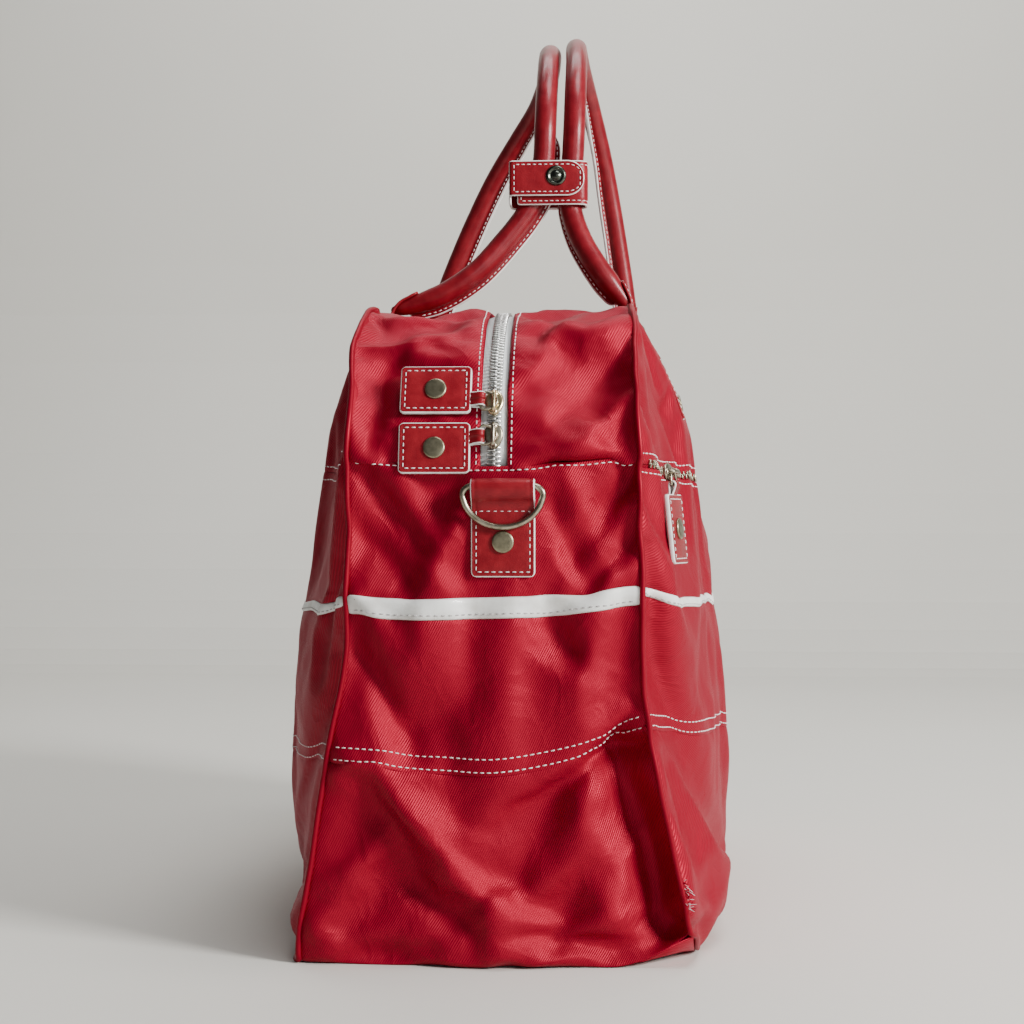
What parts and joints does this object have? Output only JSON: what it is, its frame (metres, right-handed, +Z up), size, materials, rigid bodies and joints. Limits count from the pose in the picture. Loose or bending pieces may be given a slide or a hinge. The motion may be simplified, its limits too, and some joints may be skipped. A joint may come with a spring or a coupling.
{
  "type": "handbag",
  "caption": "Zip-top boston travel bag in twill with white trim, rolled leather handles held by a snap keeper, end D-rings and a zip side pocket.",
  "frame": {"origin": "centre of the bag's base, on the floor", "axes": "+Z up, +X towards the zip pocket side across the thickness, +Y along the length away from the end with the zip sliders"},
  "size_m": [0.246, 0.4734, 0.5184],
  "materials": {
    "twill": "red nylon twill with a satin sheen",
    "leather": "dark red smooth leather, semi-gloss",
    "white_trim": "white coated trim, satin",
    "zip_tape": "white woven zip tape",
    "nickel": "antique nickel, polished and worn",
    "board": "dark stiffening board"
  },
  "bodies": {
    "bag": {"base_panel": "twill", "base_board": "board", "side_left_lower": "twill", "side_left_middle": "twill", "side_left_white_band": "white_trim", "side_left_pocket": "twill", "side_left_upper": "twill", "zip_top_left": "twill", "zip_tape_left": "zip_tape", "piping_left": "twill", "handle_patch_left_near": "leather", "handle_patch_left_near_rivet": "nickel", "handle_patch_left_far": "leather", "handle_patch_left_far_rivet": "nickel", "side_right_lower": "twill", "side_right_middle": "twill", "side_right_white_band": "white_trim", "side_right_pocket": "twill", "side_right_upper": "twill", "zip_top_right": "twill", "zip_tape_right": "zip_tape", "piping_right": "twill", "handle_patch_right_near": "leather", "handle_patch_right_near_rivet": "nickel", "handle_patch_right_far": "leather", "handle_patch_right_far_rivet": "nickel", "end_near_lower": "twill", "end_near_middle": "twill", "end_near_white_band": "white_trim", "end_near_upper": "twill", "ring_tab_near": "leather", "ring_tab_near_rivet": "nickel", "end_far_lower": "twill", "end_far_middle": "twill", "end_far_white_band": "white_trim", "end_far_upper": "twill", "ring_tab_far": "leather", "ring_tab_far_rivet": "nickel", "zip_teeth": "nickel", "pocket_zip": "zip_tape"},
    "left_handle": {"handle_left": "leather", "keeper_wrap": "leather"},
    "right_handle": {"handle_right": "leather", "keeper_under": "leather"},
    "keeper_snap": {"keeper_flap": "leather", "keeper_snap_cap": "nickel"},
    "near_ring": {"d_ring_near": "nickel"},
    "far_ring": {"d_ring_far": "nickel"},
    "upper_slider": {"zip_slider_upper": "nickel"},
    "lower_slider": {"zip_slider_lower": "nickel"},
    "upper_pull": {"zip_link_upper": "nickel", "zip_pull_upper": "leather", "zip_pull_upper_rivet": "nickel"},
    "lower_pull": {"zip_link_lower": "nickel", "zip_pull_lower": "leather", "zip_pull_lower_rivet": "nickel"},
    "side_slider": {"pocket_slider": "nickel"},
    "side_pull": {"pocket_link": "nickel", "pocket_pull": "leather", "pocket_pull_rivet": "nickel"}
  },
  "joints": [
    {"name": "left_handle_swing", "type": "hinge", "parent": "bag", "child": "left_handle", "pos_m": [-0.072, 0, 0.338], "axis": [0, -1, 0], "range_deg": [0, 150]},
    {"name": "right_handle_swing", "type": "hinge", "parent": "bag", "child": "right_handle", "pos_m": [0.072, 0, 0.338], "axis": [0, 1, 0], "range_deg": [0, 150]},
    {"name": "keeper_flap_open", "type": "hinge", "parent": "left_handle", "child": "keeper_snap", "pos_m": [0, -0.0985, 0.4145], "axis": [0, 0, -1], "range_deg": [0, 120]},
    {"name": "near_ring_swing", "type": "hinge", "parent": "bag", "child": "near_ring", "pos_m": [0.005, -0.23255, 0.2395], "axis": [-1, 0, 0], "range_deg": [0, 95]},
    {"name": "far_ring_swing", "type": "hinge", "parent": "bag", "child": "far_ring", "pos_m": [-0.005, 0.23255, 0.2395], "axis": [1, 0, 0], "range_deg": [0, 95]},
    {"name": "upper_slider_run", "type": "hinge", "parent": "bag", "child": "upper_slider", "pos_m": [0, -0.139, 0.249], "axis": [-1, 0, 0], "range_deg": [0, 60]},
    {"name": "lower_slider_run", "type": "hinge", "parent": "bag", "child": "lower_slider", "pos_m": [0, -0.139, 0.249], "axis": [-1, 0, 0], "range_deg": [0, 2]},
    {"name": "upper_pull_flip", "type": "hinge", "parent": "upper_slider", "child": "upper_pull", "pos_m": [0, -0.22467, 0.28361], "axis": [0, 0.3746, 0.9272], "range_deg": [0, 100]},
    {"name": "lower_pull_flip", "type": "hinge", "parent": "lower_slider", "child": "lower_pull", "pos_m": [0, -0.22985, 0.26584], "axis": [0, 0.1822, 0.9833], "range_deg": [0, 100]},
    {"name": "side_slider_run", "type": "slide", "parent": "bag", "child": "side_slider", "axis": [0.2905, 0.9569, 0], "range_m": [0, 0.06]},
    {"name": "side_pull_flip", "type": "hinge", "parent": "side_slider", "child": "side_pull", "pos_m": [0.09202, -0.18785, 0.24804], "axis": [-0.2905, -0.9569, 0], "range_deg": [0, 100]}
  ]
}
